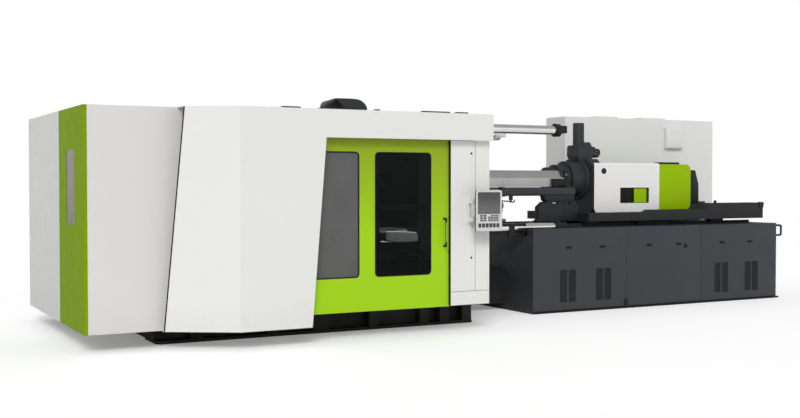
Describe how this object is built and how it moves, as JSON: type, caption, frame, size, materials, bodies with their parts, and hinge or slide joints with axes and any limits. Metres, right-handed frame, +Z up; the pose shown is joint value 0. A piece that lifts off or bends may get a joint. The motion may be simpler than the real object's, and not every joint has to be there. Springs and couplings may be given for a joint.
{
  "type": "injection moulding machine",
  "caption": "Large horizontal two-platen injection moulding machine with a folded sheet enclosure, sliding gates, tie bars and a carriage-mounted injection unit",
  "frame": {"origin": "on the floor under the machine axis, at the fixed platen's mould face", "axes": "+X from the clamp end to the injection end, -Y the operator side, +Z up"},
  "size_m": [12.41, 4.35, 3.186],
  "materials": {
    "white_panel": "satin powder coat",
    "green_panel": "satin powder coat",
    "door_green": "satin powder coat",
    "gate_rear": "satin powder coat",
    "bed_charcoal": "satin enamel",
    "bed_cover_charcoal": "satin powder coat",
    "frame_black": "satin enamel",
    "casting_grey": "painted casting, machined faces",
    "casting_black": "painted casting",
    "bar_chrome": "ground and plated",
    "rod_chrome": "ground and plated",
    "cylinder_grey": "satin enamel",
    "plain_steel": "machined",
    "guard_steel": "sheet",
    "barrel_steel": "heat-darkened steel",
    "window_pane": "tinted sheet",
    "corner_pane": "dark tinted sheet",
    "screen": "display",
    "panel_grey": "moulded",
    "trim_black": "moulded",
    "cabinet_white": "satin powder coat",
    "hood_black": "satin enamel"
  },
  "bodies": {
    "base": {"clamp_bed": "frame_black", "fixed_platen": "casting_grey", "clamp_cylinders": "cylinder_grey", "nut_guides": "plain_steel", "traverse_cylinders": "cylinder_grey", "nozzle_cylinder_rods": "rod_chrome", "enclosure_frame": "frame_black", "end_wall": "white_panel", "corner_panel": "green_panel", "corner_window": "corner_pane", "front_left_panel": "white_panel", "roof_panel": "white_panel", "front_canopy": "white_panel", "column_cover": "white_panel", "rear_covers": "white_panel", "gate_rails": "frame_black", "operator_bracket": "trim_black", "injection_bed": "bed_charcoal", "bed_cover_left": "bed_cover_charcoal", "bed_cover_middle": "bed_cover_charcoal", "bed_cover_right": "bed_cover_charcoal", "bed_vents": "trim_black", "bed_rear_covers": "bed_cover_charcoal", "lifting_handle": "trim_black", "sled_rails": "plain_steel", "control_cabinet": "cabinet_white", "junction_box": "cabinet_white"},
    "clamp_carriage": {"moving_platen": "casting_grey", "tie_bars": "bar_chrome", "tie_bar_nuts": "plain_steel", "tie_bar_collars": "trim_black", "platen_hood": "hood_black", "traverse_rods": "rod_chrome", "ejector_cylinder": "cylinder_grey"},
    "ejector": {"ejector_plate": "plain_steel"},
    "nuts_front": {"nut_halves_front": "plain_steel"},
    "nuts_rear": {"nut_halves_rear": "plain_steel"},
    "gate_front": {"front_gate": "door_green", "front_gate_windows": "window_pane", "front_gate_handle": "trim_black"},
    "gate_back": {"rear_gate": "gate_rear"},
    "operator_station": {"operator_panel": "panel_grey", "operator_screen": "screen"},
    "injection_carriage": {"sled": "casting_black", "carriage_block": "casting_black", "injection_plate": "casting_grey", "barrel": "barrel_steel", "nozzle": "barrel_steel", "heater_guard": "guard_steel", "terminal_box": "trim_black", "nozzle_cylinders": "cylinder_grey", "injection_cylinders": "cylinder_grey", "injection_cover": "white_panel"},
    "injection_drive": {"thrust_housing": "casting_grey", "drive_cover": "green_panel", "screw_motor": "casting_black"},
    "screw_body": {"screw": "plain_steel"},
    "door_left": {"cabinet_door_left": "cabinet_white"},
    "door_right": {"cabinet_door_right": "cabinet_white"}
  },
  "joints": [
    {"name": "platen_slide", "type": "slide", "parent": "base", "child": "clamp_carriage", "axis": [1, 0, 0], "range_m": [-1.3, 0]},
    {"name": "ejector_slide", "type": "slide", "parent": "clamp_carriage", "child": "ejector", "axis": [1, 0, 0], "range_m": [0, 0.25]},
    {"name": "nut_front_slide", "type": "slide", "parent": "base", "child": "nuts_front", "axis": [0, 1, 0], "range_m": [0, 0.06]},
    {"name": "nut_rear_slide", "type": "slide", "parent": "base", "child": "nuts_rear", "axis": [0, -1, 0], "range_m": [0, 0.06]},
    {"name": "front_gate_slide", "type": "slide", "parent": "base", "child": "gate_front", "axis": [-1, 0, 0], "range_m": [0, 0.95]},
    {"name": "rear_gate_slide", "type": "slide", "parent": "base", "child": "gate_back", "axis": [-1, 0, 0], "range_m": [0, 1.45]},
    {"name": "operator_panel_swing", "type": "hinge", "parent": "base", "child": "operator_station", "pos_m": [0.1, -2.39, 1.63], "axis": [0, 0, -1], "range_deg": [0, 90]},
    {"name": "carriage_slide", "type": "slide", "parent": "base", "child": "injection_carriage", "axis": [1, 0, 0], "range_m": [0, 0.6]},
    {"name": "drive_slide", "type": "slide", "parent": "injection_carriage", "child": "injection_drive", "axis": [1, 0, 0], "range_m": [0, 0.48]},
    {"name": "screw_turn", "type": "hinge", "parent": "injection_drive", "child": "screw_body", "pos_m": [2.5, 0, 2.06], "axis": [1, 0, 0], "continuous": true},
    {"name": "cabinet_door_left_hinge", "type": "hinge", "parent": "base", "child": "door_left", "pos_m": [4.073, 1.4603, 2.2], "axis": [0, 0, 1], "range_deg": [0, 110]},
    {"name": "cabinet_door_right_hinge", "type": "hinge", "parent": "base", "child": "door_right", "pos_m": [7.557, 1.4603, 2.2], "axis": [0, 0, -1], "range_deg": [0, 110]}
  ],
  "couplings": [
    {"joint": "nut_rear_slide", "follows": "nut_front_slide", "ratio": 1}
  ]
}
